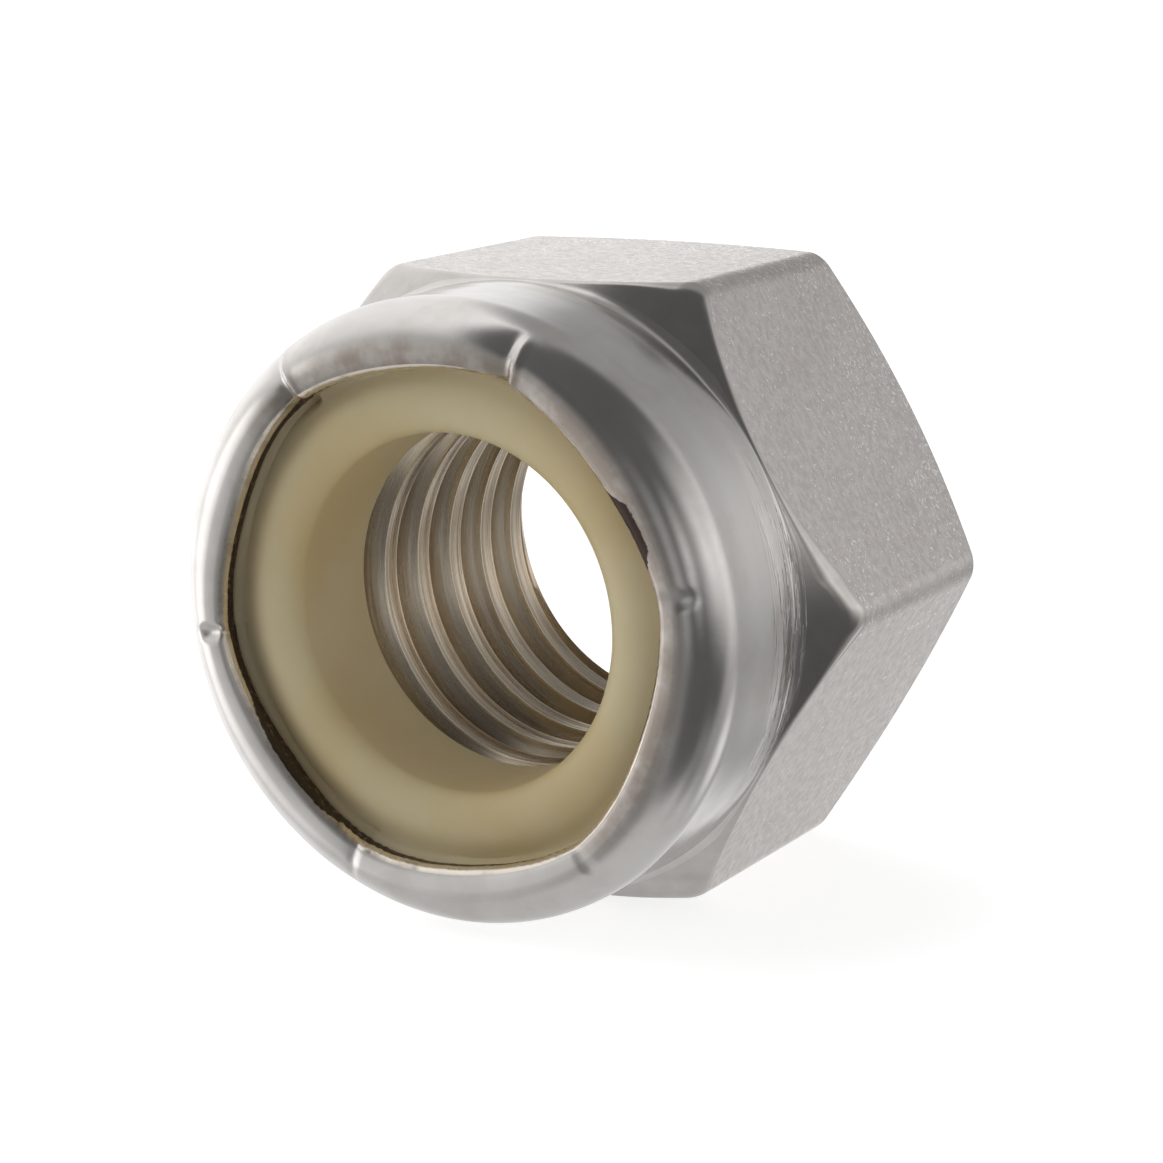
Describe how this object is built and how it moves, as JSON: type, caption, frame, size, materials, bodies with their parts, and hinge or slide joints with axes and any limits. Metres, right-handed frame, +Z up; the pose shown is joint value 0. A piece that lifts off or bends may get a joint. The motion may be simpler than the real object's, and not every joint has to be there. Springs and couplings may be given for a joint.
{
  "type": "nylon insert lock nut",
  "caption": "Hexagon lock nut with a rolled and crimped collar that holds a nylon ring, lying on one of its flats.",
  "frame": {"origin": "on the surface the nut lies on, below the middle of its box", "axes": "+Y along the nut's axis, from the collar to the bearing face; +Z up, square to the flat it lies on; +X across two long edges"},
  "size_m": [0.0272, 0.0194, 0.0237],
  "materials": {
    "stainless_steel": "passivated 18-8 stainless steel, rolled flats and a smooth formed collar",
    "nylon": "undyed moulded nylon 6/6, warm beige and slightly translucent"
  },
  "bodies": {
    "root": {"nut_body": "stainless_steel", "nylon_insert": "nylon"}
  },
  "joints": []
}
